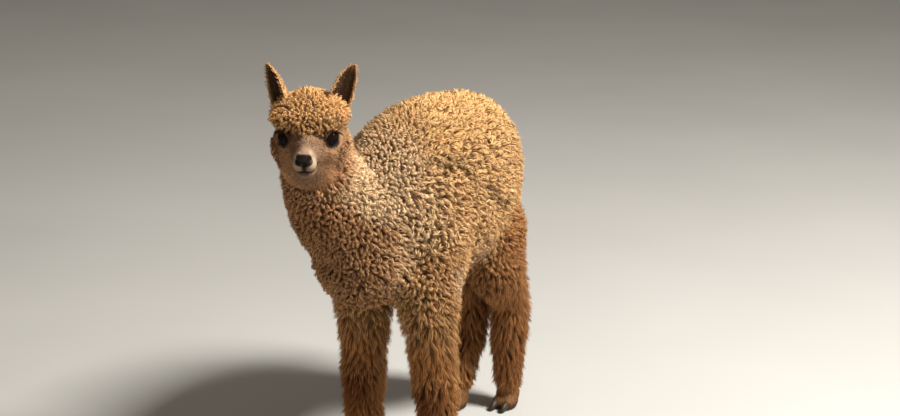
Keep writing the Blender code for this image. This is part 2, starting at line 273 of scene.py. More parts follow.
def paint(mesh, name, colours):
    layer = mesh.color_attributes.new(name, "FLOAT_COLOR", "POINT")
    solid = np.concatenate([colours, np.ones((len(colours), 1))], axis=1)
    layer.data.foreach_set("color", solid.astype(np.float32).ravel())


def vectors(mesh, name, values):
    layer = mesh.attributes.new(name, "FLOAT_VECTOR", "POINT")
    layer.data.foreach_set("vector", np.asarray(values, np.float32).ravel())


def remeshed(name, source, voxel):
    """A mesh's closed surface again, in even small faces."""
    holder = add_object(name, source)
    remesh = holder.modifiers.new("Remesh", "REMESH")
    remesh.mode, remesh.voxel_size = "VOXEL", voxel
    bpy.context.view_layer.update()
    made = bpy.data.meshes.new_from_object(holder.evaluated_get(bpy.context.evaluated_depsgraph_get()))
    bpy.data.objects.remove(holder)
    return made


def read(items, key, size, kind=np.int64):
    out = np.empty(len(items) * size, kind)
    items.foreach_get(key, out)
    return out.reshape(-1, size)


def mesh_arrays(mesh):
    mesh.calc_loop_triangles()
    edges, triangles = read(mesh.edges, "vertices", 2), read(mesh.loop_triangles, "vertices", 3)
    return read(mesh.vertices, "co", 3, float), edges, triangles


def spread(values, edges, rounds, share=None):
    """Values averaged with their neighbours', a few times over."""
    n = len(values)
    a, b = edges.T
    count = np.maximum(np.bincount(a, minlength=n) + np.bincount(b, minlength=n), 1)
    out = np.array(values, float)
    flat = out.reshape(n, -1)
    for _ in range(rounds):
        near = np.stack([np.bincount(a, c[b], n) + np.bincount(b, c[a], n) for c in flat.T], axis=1) / count[:, None]
        flat = flat + (near - flat) * (0.5 if share is None else 0.5 * share[:, None])
    return flat.reshape(out.shape)


def vertex_normals(v, t):
    face = np.cross(v[t[:, 1]] - v[t[:, 0]], v[t[:, 2]] - v[t[:, 0]])
    n = np.zeros_like(v)
    for k in range(3):
        for axis in range(3):
            n[:, axis] += np.bincount(t[:, k], face[:, axis], len(v))
    return unit(n)


def largest_part(bm):
    left, parts = set(bm.verts), []
    while left:
        stack = [left.pop()]
        part = set(stack)
        while stack:
            near = {v for edge in stack.pop().link_edges for v in edge.verts} - part
            part |= near
            stack += near
        left -= part
        parts.append(part)
    keep = max(parts, key=len)
    bmesh.ops.delete(bm, geom=[v for v in bm.verts if v not in keep], context="VERTS")


def refined(bm, wanted):
    """Every face whose middle is wanted, in four."""
    middles = np.array([f.calc_center_median() for f in bm.faces])
    chosen = wanted(to_head(middles))
    edges = {e for f, yes in zip(bm.faces, chosen) if yes for e in f.edges}
    bmesh.ops.subdivide_edges(bm, edges=list(edges), cuts=1, use_grid_fill=True)


def before(q, back, low, high):
    return (q[:, 1] < back) & (q[:, 2] > low) & (q[:, 2] < high)


def near_face(q):
    return before(q, 0.02, -0.075, 0.024)


def near_details(q):
    eye = np.linalg.norm(mirrored(q) - (EYE_REACH, 0, 0), axis=1) < EYE_RADIUS + 0.011
    return (eye & (q[:, 1] < 0.026)) | before(q, -0.05, -0.048, 0.014)


def near_nose(q):
    return before(q, -0.058, -0.046, 0.01)


def head_share(share, q):
    return ease(share[:, HEAD], 0.3, 0.75) * ease(q[:, 2], -0.128, -0.1)


SKIN_VOXEL, NAIL_VOXEL = 0.0052, 0.001


def flesh_surface():
    """The CAD's flesh and eyes as one closed surface, with the head moved onto the bare head and finer there. Its
    attribute "outer" keeps every point's place on the coat's outside."""
    bm = bmesh.new()
    for name in FLESH + ["eye_left", "eye_right"]:
        bm.from_mesh(frame["nodes"][name].data)
    source = as_mesh(bm, "flesh")
    bm = bmesh.new()
    bm.from_mesh(remeshed("flesh", source, SKIN_VOXEL))
    largest_part(bm)
    bm.verts.index_update()
    kept = bm.verts.layers.float_vector.new("outer")
    v = np.array([p.co for p in bm.verts])
    e = np.array([(k.verts[0].index, k.verts[1].index) for k in bm.edges])
    share = head_share(spread(kinds_at(v), e, 8), to_head(v))
    bare = mixed(v, onto_head(spread(v, e, 45, share), share), share)
    for vert, place in zip(bm.verts, bare):
        vert[kept] = vert.co
        vert.co = place
    for wanted in (near_face, near_details, near_nose):
        refined(bm, wanted)
    bmesh.ops.recalc_face_normals(bm, faces=bm.faces)
    return as_mesh(bm, "skin")


def kinds_at(points):
    """Which kind of CAD node each point is nearest to, as one row of shares."""
    corners, faces, kind = [], [], []
    for name in FLESH:
        mesh = frame["nodes"][name].data
        faces += [[len(corners) + i for i in f.vertices] for f in mesh.polygons]
        corners += [v.co.copy() for v in mesh.vertices]
        kind += [next(k for k, word in enumerate(KINDS) if word in name)] * len(mesh.polygons)
    tree = BVHTree.FromPolygons(corners, faces)
    found = np.array([kind[tree.find_nearest(Vector(p))[2]] for p in points])
    return np.eye(len(KINDS))[found]


# ---- where things are on the body
LEG_LINES = {
    leg: np.array([middle(n) for n in (f"foot_{leg}", f"leg_{leg}_lower", f"leg_{leg}_upper")]) for leg in LEGS
}
BARREL_MIDDLE = (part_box("trunk")[0].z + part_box("trunk")[1].z) / 2
NECK_LINE = np.array([  # the neck's middle, from the withers to the head
    (0, 0, 0.5), (-0.014, -0.094, 0.54), (-0.034, -0.169, 0.566), (-0.049, -0.224, 0.613),
    (-0.056, -0.252, 0.674), (-0.056, -0.264, 0.735),
])
HIND_FROM = 0.13  # the y that parts the hind legs from the front legs


def in_leg(p, leg):
    """Which points are in a leg's quarter of the floor."""
    return ((p[:, 0] > 0) == leg.endswith("left")) & ((p[:, 1] > HIND_FROM) == leg.startswith("back"))


def line_at(line, z):
    """The x and y of a line of points, at given heights."""
    return [np.interp(z, line[:, 2], line[:, k]) for k in (0, 1)]


def leg_offset(p):
    """Each point's way across from the middle of its own leg."""
    out = np.zeros((len(p), 2))
    for leg, line in LEG_LINES.items():
        mine = in_leg(p, leg)
        out[mine] = (p[:, :2] - np.stack(line_at(line, p[:, 2]), axis=1))[mine]
    return out


def woolly(q):
    """Where the head is woolly, 1, and where it has short hair, 0, in the head's frame."""
    x, y, z = np.abs(q[:, 0]), q[:, 1], q[:, 2]
    top = ease(z, 0.016, 0.025) * ease(y, -0.05, -0.03)
    back = ease(y, 0.034, 0.062)
    cheek = 0.75 * ease(x, 0.03, 0.042) * ease(z, -0.085, -0.06) * ease(y, -0.016, 0.006) * ease(z, -0.014, -0.026)
    return np.maximum.reduce([top, back, cheek, ease(-z, 0.108, 0.12)])


def leather(q):
    """Bare nose, lip edges and lid edges, in the head's frame."""
    half = mirrored(q)
    nose = ball(half, (0, -0.085, -0.006), (0.0205, 0.016, 0.0125))
    nose = np.minimum(nose, rod(half, (0, -0.083, -0.01), (0, -0.079, -0.0315), 0.008, 0.0036))
    slit = np.minimum.reduce([rod(half, a, b, 0.0036, 0.0032) for a, b in zip(MOUTH, MOUTH[1:])])
    lid = np.minimum(np.abs(opening(q, 1)[1] - 0.98), np.abs(opening(q, -1)[1] - 0.98))
    near = eye_distance(q) < EYE_RADIUS + 0.006
    return np.maximum.reduce([ease(nose, 0.0015, -0.001), ease(slit, 0.0016, 0), ease(lid, 0.15, 0.09) * near])


def cracks(p):
    """Where the fleece parts: wandering lines down and back over the shoulders and sides."""
    along, across = (0, 0.78, -0.62), (0, 0.62, 0.78)
    first, second = p @ along * 8 + noise(p, 14, 5) * 0.5, p @ across * 30 + noise(p, 11, 6) * 1.3
    bent = np.stack([first, second, p[:, 0] * 6], axis=1)
    line = ease(np.abs(noise(bent, 1, 7)), 0.11, 0.01)
    place = ease(np.abs(p[:, 0]), 0.055, 0.1) * ease(p[:, 2], 0.4, 0.46) * ease(p[:, 2], 0.74, 0.69)
    return line * place * ease(p[:, 1], 0.26, 0.12) * ease(noise(p, 6, 8), -0.5, 0.1)


FLEECE, NOSE, SOLE = (0.64, 0.405, 0.19), (0.016, 0.008, 0.005), (0.06, 0.04, 0.03)
# ROUND_EYE darkens the skin round each eye: partly dark lids, partly painted shade under the fringe.
ROUND_EYE = (0.11, 0.065, 0.04)


def markings(p, share):
    """The coat's and skin's colour at points on the body, with painted shade and light in some of the rules below.
    """
    q, off = to_head(p), leg_offset(p)
    x, y, z = p.T
    across, back, up = np.abs(q[:, 0]), q[:, 1], q[:, 2]
    side, ahead = p[:, :2].T - line_at(NECK_LINE, z)
    head, neck, trunk, tail, upper, lower, foot = share.T
    front = ease(-off[:, 1], -0.012, 0.03)
    patch = noise(p, 9, 31) * 0.5 + noise(p, 23, 32) * 0.5
    wool = woolly(q)
    # Painted shade, with some of the fleece's own darker colour, down the front of the neck and chest.
    throat = (neck + 0.6 * trunk) * ease(0.5 * np.abs(side) + ahead, 0.02, -0.045) * ease(y, -0.12, -0.19)
    # Paler lip lobes, partly painted light, and a painted highlight along the top of the nose.
    pale_lips_and_highlight = head * (1 - wool) * np.maximum(
        0.4 * ease(back, -0.06, -0.072) * ease(up, -0.006, 0.004),
        ease(back, -0.058, -0.07) * ease(across, 0.006, 0.013) * ease(up, -0.03, -0.018),
    )
    dust = 0.6 * (trunk + upper) * ease(patch, -0.1, 0.4) * ease(z, 0.5, 0.44) * ease(z, 0.36, 0.4)
    dust = dust * ease(y, 0.02, -0.04) * ease(x, 0.04, 0.08)
    rules = [  # each laid over the ones before it
        ((0.7, 0.45, 0.2), trunk * ease(z, 0.6, 0.74)),  # top of the back
        ((0.6, 0.39, 0.215), trunk * ease(z, 0.5, 0.4)),  # flanks
        ((0.78, 0.57, 0.345), neck * ease(y, -0.04, -0.13)),  # neck, paler: partly its own colour, partly painted light
        ((0.72, 0.515, 0.3), trunk * ease(y, -0.02, -0.14) * ease(z, 0.4, 0.48) * ease(z, 0.7, 0.6)),  # shoulder, paler: partly its own colour, partly painted light
        # The throat's brown: partly its own colour, partly painted shade.
        ((0.49, 0.265, 0.125), throat),
        ((0.5, 0.285, 0.14), (neck + trunk) * ease(y, -0.15, -0.225) * ease(z, 0.6, 0.5)),  # breast, darker: partly its own colour, partly painted shade
        ((0.47, 0.25, 0.11), trunk * ease(z, 0.43, 0.37) * ease(np.abs(x), 0.14, 0.09)),  # belly, darker underneath: partly its own colour, partly painted shade
        # The legs' colours are darker than the fleece, most low down, on the fronts and on the hind legs: partly
        # their own colour, partly painted shade.
        ((0.56, 0.33, 0.145), upper),
        ((0.46, 0.21, 0.07), upper * ease(z, 0.38, 0.24) * (0.45 + 0.55 * front)),
        ((0.43, 0.19, 0.062), lower),
        ((0.23, 0.088, 0.03), lower * front * ease(z, 0.09, 0.16)),  # shins, darker on the front: partly painted shade
        ((0.54, 0.27, 0.095), lower * (1 - front) * 0.7),
        ((0.37, 0.165, 0.058), (upper + lower) * ease(y, 0.1, 0.22) * 0.8),  # hind legs, darker: painted shade under the body
        ((0.66, 0.43, 0.2), tail),
        ((0.3, 0.145, 0.06), foot),
        ((0.11, 0.058, 0.03), foot * ease(z, 0.022, 0.008)),  # edge of the sole
        ((0.43, 0.24, 0.12), head * ease(back, 0.07, 0.035)),
        ((0.62, 0.345, 0.175), head * ease(up, -0.05, -0.08)),  # jaw
        ((0.74, 0.44, 0.19), head * wool * ease(up, -0.005, 0.03)),  # topknot
        ((0.27, 0.165, 0.1), head * (1 - wool) * ease(back, -0.01, -0.04)),  # muzzle, darker: partly its own colour, partly painted shade
        # Lips and the top of the nose, paler: partly painted highlight.
        ((0.48, 0.34, 0.225), pale_lips_and_highlight),
        ((0.66, 0.53, 0.4), dust),
    ]
    colour = np.tile(FLEECE, (len(p), 1))
    for tint, mask in rules:
        colour = mixed(colour, tint, np.clip(mask, 0, 1))
    # Darker round each eye: partly dark lids, partly painted shade under the fringe.
    ring = head * (1 - wool) * ease(eye_distance(q), EYE_RADIUS + 0.008, EYE_RADIUS + 0.003) * 0.85
    colour = mixed(colour, ROUND_EYE, ring)
    return colour * (1 + 0.1 * patch)[:, None]


# ---- the skin
skin_mesh = flesh_surface()
bare, edges, triangles = mesh_arrays(skin_mesh)
outer = spread(read(skin_mesh.attributes["outer"].data, "vector", 3, float), edges, 3)
share = spread(kinds_at(outer), edges, 36)
share /= share.sum(1, keepdims=True)
outward = unit(spread(vertex_normals(outer, triangles), edges, 3))
DEPTHS = (0.012, 0.014, 0.0165, 0.012, 0.0145, 0.015, 0.0012)  # of the coat, in the order of KINDS
depth = share @ DEPTHS
depth *= 1 - 0.45 * share[:, TRUNK] * ease(-outward[:, 2], 0.35, 0.85)
depth *= 1 - 0.75 * (share[:, LOWER] + share[:, FOOT]) * ease(outer[:, 2], 0.078, 0.046)
body = outer - spread(outward * depth[:, None], edges, 8)
of_head = head_share(share, to_head(outer))
body = mixed(body, onto_head(spread(bare, edges, 4), of_head), of_head)
body = spread(body, edges, 2, 1 - 0.75 * of_head)


def with_lids(p):
    """Skin drawn into lids round each eye, and behind the globe inside its opening."""
    q = to_head(p)
    for sign in (1, -1):
        reach, edge, local = opening(q, sign)
        swell = np.exp(-(((edge - 1.24) / 0.07) ** 2))
        lid = EYE_RADIUS + 0.0013 + 0.0007 * ease(local[:, 1], 0, 0.008) + 0.0006 * swell
        target = mixed(EYE_RADIUS - 0.0016, lid, ease(edge, 0.955, 1.035))
        away = ease(reach, EYE_RADIUS + 0.004, EYE_RADIUS + 0.012) * ease(edge, 1, 1.12)
        away = np.maximum.reduce([away, ease(edge, 1.08, 1.75), ease(reach, EYE_RADIUS + 0.012, EYE_RADIUS + 0.02)])
        target = mixed(target, reach, away)
        use = edge < 1.75
        centre = (EYE_REACH * sign, 0, 0)
        q[use] = centre + (q - centre)[use] * (target / np.maximum(reach, 1e-9))[use, None]
    return from_head(q)


body = with_lids(body)
coat_normals = unit(spread(vertex_normals(body, triangles) * 0.5 + outward * 0.5, edges, 2))
heights = np.maximum(((outer - body) * coat_normals).sum(1), 0.001)
heights = np.maximum(spread(heights, edges, 3), 0.01 * share[:, HEAD] * woolly(to_head(body)))
skin_place = to_head(body)
bareness = leather(skin_place) * ease(share[:, HEAD], 0.4, 0.6)
woolliness = np.maximum(woolly(skin_place) * share[:, HEAD], 1 - share[:, HEAD] - share[:, FOOT])
# The skin is darker than the coat's colour, most under the wool: partly darker roots, partly painted shade under the
# coat.
skin_colour = markings(body, share) * (0.8 - 0.48 * woolliness)[:, None]
skin_colour = mixed(skin_colour, NOSE, bareness)
skin_colour = mixed(skin_colour, SOLE, share[:, FOOT] * ease(body[:, 2], 0.006, 0.002))


# ---- scattering roots
TRIES = 6  # places tried for each root wanted


def scattered(v, t, spacing, wanted, seed):
    """Evenly spread points on a mesh: their triangles and their shares of its corners. spacing and wanted are per
    vertex."""
    rng = np.random.default_rng(seed)
    area = np.linalg.norm(np.cross(v[t[:, 1]] - v[t[:, 0]], v[t[:, 2]] - v[t[:, 0]]), axis=1) / 2
    weight = area / spacing[t].mean(1) ** 2 * (wanted[t].mean(1) > 0)
    count = int(weight.sum() * TRIES)
    chosen = rng.choice(len(t), count, p=weight / weight.sum())
    a, b = rng.random((2, count))
    a, b = np.where(a + b > 1, 1 - a, a), np.where(a + b > 1, 1 - b, b)
    bary = np.stack([1 - a - b, a, b], axis=1)
    points, gap, kept_share = (at(a, t, (chosen, bary)) for a in (v, spacing, wanted))
    tree = KDTree(count)
    for i, p in enumerate(points):
        tree.insert(p, i)
    tree.balance()
    free = np.ones(count, bool)
    kept = []
    for i in range(count):
        if free[i]:
            kept.append(i)
            for _, j, _ in tree.find_range(points[i], gap[i]):
                free[j] = False
    kept = np.array(kept)
    kept = kept[rng.random(len(kept)) < kept_share[kept] * THIN]
    return chosen[kept], bary[kept]


def at(values, t, roots):
    chosen, bary = roots
    if values.ndim == 1:
        return np.einsum("ck,ck->c", bary, values[t[chosen]])
    return np.einsum("ck,ckd->cd", bary, values[t[chosen]])


# ---- locks of wool and hair. These profiles hold a value at each place in FIVE, from root to tip.
FIVE = np.linspace(0, 1, 5)
BULB_SPREAD, LOCK_SPREAD = (0.66, 1, 0.96, 0.64, 0.1), (0.8, 1, 1.02, 0.96, 0.8)
BULB_CLIMB, LOCK_CLIMB = (0, 0.42, 0.78, 0.97, 1), (0, 0.25, 0.5, 0.75, 1)
WISP_WIDTH = (0.85, 1, 1, 0.85, 0)
# SHADE and ROOT_TINT make each strand darker and warmer towards its root: partly the fleece's own darker roots,
# partly painted shade deep in the coat.
SHADE = (0.3, 0.58, 0.84, 1, 1.1)
ROOT_TINT = (0.1, -0.04, -0.12)  # warmer towards the root
GOLDEN_TURN = 0.618034  # share of a turn from one strand to the next
LOWEST = 0.0012  # no strand comes nearer the floor
PIECE_TRIANGLES = 190_000
BAKE_PATCH = 0.003  # a strand's own patch of the unwrap


class Coat:
    """Locks grown so far, for one group of pieces: their strips' corners, colours and the rest."""

    def __init__(self, points):
        self.points, self.parts = points, []

    def grow(self, root, normal, lie, length, radius, bulb, lean, twist, colour, wide, fine, width, spot, seed,
             shade=SHADE):
        """Adds one lock per row: wide wisps round it, and fine strands between them. bulb is 1 for a curly lock, 0
        for a straight one. lean holds its first and last angle from the normal. spot is its place on the unwrap."""
        rng = np.random.default_rng(seed)
        rows, strands, steps = len(root), wide + fine, self.points
        radius, bulb, twist, width, start, end = (
            np.broadcast_to(a, rows) for a in (radius, bulb, twist, width, *lean)
        )
        t = np.linspace(0, 1, steps)

        def profile(bulbs, locks):
            bulbs, locks = np.interp(t, FIVE, bulbs)[None], np.interp(t, FIVE, locks)[None]
            return bulbs * bulb[:, None] + locks * (1 - bulb[:, None])

        def leaning(out, on):
            return out[..., None] * normal[:, None] + on[..., None] * lie[:, None]

        climb, swell = profile(BULB_CLIMB, LOCK_CLIMB), profile(BULB_SPREAD, LOCK_SPREAD)
        side = np.cross(normal, lie)
        angle = start[:, None] + (end - start)[:, None] * t
        half = (angle[:, 1:] + angle[:, :-1]) / 2
        way = leaning(np.cos(half), np.sin(half))
        walked = np.cumsum(way * (length[:, None] * np.diff(climb))[..., None], axis=1)
        axis = np.concatenate([np.zeros((rows, 1, 3)), walked], axis=1)
        ahead = leaning(np.cos(angle), np.sin(angle))
        first = leaning(-np.sin(angle), np.cos(angle))
        second = np.broadcast_to(side[:, None], first.shape)
        is_fine = np.arange(strands) >= wide
        turn = 2 * np.pi * (np.arange(strands) * GOLDEN_TURN)[None] + rng.random((rows, 1)) * 6.283
        turn = turn + rng.normal(0, 0.25, (rows, strands))
        turn = turn[..., None] + (twist[:, None] * rng.normal(1, 0.25, (rows, strands)))[..., None] * t
        reach = rng.uniform(0.62, 1.05, (rows, strands)) * np.where(is_fine, 1.12, 1)
        tall = rng.uniform(0.8, 1.06, (rows, strands)) * np.where(is_fine, 1.13, 1)
        fore, aside = np.cos(turn)[..., None] * first[:, None], np.sin(turn)[..., None] * second[:, None]
        out = fore + aside
        oval = fore * (1 + 0.45 * bulb)[:, None, None, None] + aside * (1 - 0.14 * bulb)[:, None, None, None]
        line = root[:, None, None] + axis[:, None] * tall[..., None, None]
        line = line + oval * (radius[:, None] * reach)[..., None, None] * swell[:, None, :, None]
        line += rng.normal(0, 1, line.shape) * (width * 0.35)[:, None, None, None] * (t > 0)[None, None, :, None]
        line[..., 2] = np.maximum(line[..., 2], LOWEST)
        tangent = unit(np.gradient(line, axis=2))
        across = unit(np.cross(tangent, out))
        face = unit(np.cross(across, tangent))
        rise = out * np.cos(1.4 * t)[:, None] + ahead[:, None] * np.sin(1.4 * t)[:, None]
        face = unit(0.45 * face + 0.8 * rise + 0.2 * normal[:, None, None])
        broad = width[:, None] * np.where(is_fine, 0.36, 1) * rng.uniform(0.8, 1.2, (rows, strands))
        half_width = broad[..., None] / 2 * np.interp(t, FIVE, WISP_WIDTH)
        # Each strand is darker towards its root: partly the fleece's darker roots, partly painted shade deep in the
        # coat.
        bright = np.interp(t, FIVE, shade) * rng.normal(1, 0.045, (rows, strands, 1))
        hue = colour[:, None, None] * bright[..., None]
        hue = hue * (1 + (1 - t)[:, None] * ROOT_TINT)
        shown = [a.reshape(rows * strands, steps, -1) for a in (line, across, half_width, face, hue)]
        self.parts.append((*shown, *(np.repeat(a, strands, axis=0) for a in (spot, rng.random((rows, 1))))))

    def pieces(self, name, material, order):
        """The locks as meshes under the triangle limit, cut across in the given order of their places."""
        columns = [np.concatenate(a) for a in zip(*self.parts)]
        line = columns[0]
        each = 2 * (self.points - 2) + 1
        count = math.ceil(len(line) * each / PIECE_TRIANGLES)
        ranks = np.argsort(np.argsort(line[:, 0] @ np.array(order, float), kind="stable"), kind="stable")
        for k in range(count):
            mine = (ranks * count // len(line)) == k
            piece = strips(name if count == 1 else f"{name}_{k + 1}", *(a[mine] for a in columns), material)
            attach(piece, "root")


def strips(name, line, across, half_width, face, hue, spot, chance, material):
    """One mesh of ribbons, each with pairs of corners along it and one corner at its tip."""
    count, steps, _ = line.shape
    corners = 2 * (steps - 1) + 1
    off = across * half_width

    def paired(a, b, tip):
        pairs = np.stack([a[:, :-1], b[:, :-1]], axis=2).reshape(count, corners - 1, -1)
        return np.concatenate([pairs, tip[:, None]], axis=1).reshape(count * corners, -1)

    points = paired(line - off, line + off, line[:, -1])
    normals = unit(paired(face - 0.25 * across, face + 0.25 * across, face[:, -1]))
    colours = paired(hue, hue, hue[:, -1])
    t = np.broadcast_to(np.linspace(0, 1, steps)[None, :, None], (count, steps, 1))
    random = np.broadcast_to(chance[:, None, :], t.shape)
    left, right, tip = (np.concatenate([np.full(t.shape, k), t, random], 2) for k in (-1.0, 1.0, 0.0))
    strand = paired(left, right, tip[:, -1])
    loops = [2 * i + k for i in range(steps - 2) for k in (0, 1, 3, 2)]
    loops += [2 * steps - 4, 2 * steps - 3, 2 * steps - 2]
    index = (np.array(loops)[None] + np.arange(count)[:, None] * corners).ravel().astype(np.int32)
    mesh = mesh_from(name, points, index, np.tile([4] * (steps - 2) + [3], count))
    paint(mesh, "hue", np.clip(colours, 0.002, 0.95))
    vectors(mesh, "strand", strand)
    low, high = spot.min(0), spot.max(0)
    patch = np.repeat(0.012 + 0.97 * (spot - low) / np.maximum(high - low, 1e-6), corners, axis=0)
    patch = patch + BAKE_PATCH * np.stack([strand[:, 0] * 0.5 + 0.5, strand[:, 1]], axis=1)
    layer = mesh.uv_layers.new(name="OFBake")
    layer.uv.foreach_set("vector", patch[index].astype(np.float32).ravel())
    mesh.normals_split_custom_set_from_vertices(normals)
    mesh.materials.append(material)
    return add_object(name, mesh)


# ---- materials
def new_material(name, roughness, **values):
    """A material, its node tree and its shader. Values are the shader's own sockets, with _ for a space."""
    material = bpy.data.materials.new(name)
    material.use_nodes = True
    shader = material.node_tree.nodes["Principled BSDF"]
    shader.inputs["Roughness"].default_value = roughness
    for key, value in values.items():
        shader.inputs[key.replace("_", " ")].default_value = value
    return material, material.node_tree, shader


def node(tree, kind, **settings):
    made = tree.nodes.new(kind)
    for key, value in settings.items():
        if key in made.inputs:
            made.inputs[key].default_value = value
        else:
            setattr(made, key, value)
    return made


def link(a, b):
    a.id_data.links.new(a, b)


def attribute(tree, name, output):
    return node(tree, "ShaderNodeAttribute", attribute_name=name).outputs[output]


def place(tree):
    return node(tree, "ShaderNodeTexCoord").outputs["Object"]


def scaled(source, scale, operation="MULTIPLY", output="Vector"):
    made = node(source.id_data, "ShaderNodeVectorMath", operation=operation)
    link(source, made.inputs[0])
    made.inputs[1].default_value = scale
    return made.outputs[output]


def distance(source):
    return scaled(source, (0, 0, 0), "LENGTH", "Value")


def speckle(vector, scale, detail=2, roughness=0.5):
    made = node(vector.id_data, "ShaderNodeTexNoise", Scale=scale, Detail=detail, Roughness=roughness)
    link(vector, made.inputs["Vector"])
    return made.outputs["Fac"]


def ranged(source, low, high, to_low, to_high):
    made = node(source.id_data, "ShaderNodeMapRange")
    link(source, made.inputs["Value"])
    for key, value in zip(("From Min", "From Max", "To Min", "To Max"), (low, high, to_low, to_high)):
        made.inputs[key].default_value = value
    return made.outputs["Result"]


def multiplied(colour, factor):
    made = node(colour.id_data, "ShaderNodeMix", data_type="RGBA", blend_type="MULTIPLY")
    made.inputs[0].default_value = 1
    link(colour, made.inputs[6])
    link(factor, made.inputs[7])
    return made.outputs[2]


def between(source, dark, light):
    """A colour ramp from dark to light."""
    ramp = node(source.id_data, "ShaderNodeValToRGB")
    for element, colour in zip(ramp.color_ramp.elements, (dark, light)):
        element.color = (*colour, 1)
    link(source, ramp.inputs[0])
    return ramp.outputs[0]


def bumped(shader, height, strength, distance):
    made = node(height.id_data, "ShaderNodeBump", Strength=strength, Distance=distance)
    link(height, made.inputs["Height"])
    link(made.outputs["Normal"], shader.inputs["Normal"])


def coat_material(name, roughness, sheen, streaks):
    """Wool or hair: the lock's own colour, streaked into finer strands along it."""
    tint = (1, 0.78, 0.5, 1)
    material, tree, shader = new_material(
        name, roughness, Sheen_Weight=sheen, Sheen_Roughness=0.45, Sheen_Tint=tint, Specular_IOR_Level=0.12
    )
    streak = speckle(scaled(attribute(tree, "strand", "Vector"), (streaks, 1.6, 90)), 1, 3, 0.6)
    colour = multiplied(attribute(tree, "hue", "Color"), ranged(streak, 0.3, 0.7, 0.84, 1.14))
    link(colour, shader.inputs["Base Color"])
    bumped(shader, streak, 0.5, 0.0006)
    return material


def skin_material():
    """Short hair over skin, and leather where the attribute "bare" says so."""
    material, tree, shader = new_material("short_coat", 0.8, Specular_IOR_Level=0.2)
    bare = attribute(tree, "bare", "Fac")
    hair = speckle(attribute(tree, "lay", "Vector"), 1, 3, 0.6)
    grain = speckle(place(tree), 900)
    height = node(tree, "ShaderNodeMix", data_type="FLOAT")
    for source, socket in ((bare, 0), (hair, 2), (grain, 3)):
        link(source, height.inputs[socket])
    colour = multiplied(attribute(tree, "hue", "Color"), ranged(hair, 0.3, 0.7, 0.72, 1.22))
    link(colour, shader.inputs["Base Color"])
    link(ranged(bare, 0, 1, 0.85, 0.48), shader.inputs["Roughness"])
    bumped(shader, height.outputs[0], 0.6, 0.0008)
    return material


WOOL = coat_material("fleece", 0.85, 0.1, 3)
HAIR = coat_material("short_hair", 0.8, 0.06, 2)
SKIN = skin_material()


# ---- ears
EAR_BASE, EAR_TIP, EAR_LENGTH = np.array((0.053, 0.062, 0.048)), np.array((0.086, 0.084, 0.114)), 0.094
EAR_HALF_WIDTH, EAR_OPENS = 0.0225, {1: math.radians(14), -1: math.radians(38)}
EAR_RINGS, EAR_COLUMNS, EAR_SKIN = 30, 21, 0.0011


def ear_surface(sign):
    """A thin closed cup. Gives its points, quads and triangles, for each point 1 on the inside, how far up and how
    far across, and the way the ear points."""
    base, tip = EAR_BASE * (sign, 1, 1), EAR_TIP * (sign, 1, 1)
    along = unit(tip - base)
    base = base - along * (EAR_LENGTH - np.linalg.norm(tip - base))
    opens = np.array([math.sin(EAR_OPENS[sign]) * sign, -math.cos(EAR_OPENS[sign]), 0])
    opens = unit(opens - along * (opens @ along))
    across = np.cross(along, opens)
    u = np.linspace(-0.26, 0.975, EAR_RINGS)[:, None]
    v = np.linspace(-1, 1, EAR_COLUMNS)[None]
    clipped = np.clip(u, 0, 1)
    half_width = EAR_HALF_WIDTH * (0.92 + 0.45 * clipped) * (1 - clipped**2) ** 0.75 * (1 + 0.35 * np.minimum(u, 0))
    curl = np.radians(105 - 62 * clipped)
    radius = half_width / np.sin(np.minimum(curl, np.pi / 2))
    angle = curl * v
    ripple = 0.0008 * np.sin(v * 9 + u * 5) * (1 - v**2)
    middle_line = base + along * EAR_LENGTH * u[..., None]
    out = across * np.sin(angle)[..., None] + -opens * np.cos(angle)[..., None]
    sheet = middle_line + across * (np.sin(angle) * radius)[..., None]
    sheet = sheet - opens * ((np.cos(angle) - 0.55) * radius)[..., None] + out * ripple[..., None]
    thin = EAR_SKIN * (1 - 0.5 * np.abs(v[..., None]) ** 4)
    sides = [sheet + out * thin, sheet - out * thin]
    points = from_head(np.concatenate([s.reshape(-1, 3) for s in sides]))
    count = EAR_RINGS * EAR_COLUMNS
    grid = np.arange(count).reshape(EAR_RINGS, EAR_COLUMNS)
    quads = []

    def rim(a, b, turned):
        face = (a, b, b + count, a + count)
        quads.append(face[::-1] if turned else face)

    for i in range(EAR_RINGS - 1):
        for j in range(EAR_COLUMNS - 1):
            a, b, c, d = grid[i, j], grid[i, j + 1], grid[i + 1, j + 1], grid[i + 1, j]
            quads += [(a, b, c, d), (a + count, d + count, c + count, b + count)]
        rim(grid[i, 0], grid[i + 1, 0], False)
        rim(grid[i, -1], grid[i + 1, -1], True)
    for row, turned in ((grid[0], False), (grid[-1], True)):
        for a, b in zip(row, row[1:]):
            rim(a, b, turned)
    inside = np.repeat([0.0, 1.0], count)
    up = np.tile((u * np.ones_like(v)).ravel(), 2)
    sideways = np.tile((v * np.ones_like(u)).ravel(), 2)
    quads = np.array(quads)
    split = np.concatenate([quads[:, [0, 1, 2]], quads[:, [0, 2, 3]]])
    centre = points.mean(0)
    a, b, c = (points[split[:, k]] - centre for k in range(3))
    volume = np.einsum("ij,ij->", a, np.cross(b, c))
    if volume < 0:
        quads, split = quads[:, ::-1], split[:, ::-1]
    return points, quads, split, inside, up, sideways, unit(along @ HEAD_AXES.T)


def ear_colour(inside, up, sideways, points):
    """Dark, thinly haired inside; fleece-coloured rims and back."""
    back, dark, rim = (0.62, 0.38, 0.165), (0.095, 0.05, 0.026), (0.68, 0.41, 0.19)
    colour = mixed(np.tile(back, (len(up), 1)), dark, inside * ease(np.abs(sideways), 0.95, 0.7))
    colour = mixed(colour, rim, 0.8 * ease(np.abs(sideways), 0.8, 0.97))
    colour = mixed(colour, rim, 0.5 * ease(up, 0.8, 0.98))
    return colour * (1 + 0.1 * noise(points, 120, 41))[:, None]


EARS = {sign: ear_surface(sign) for sign in (1, -1)}


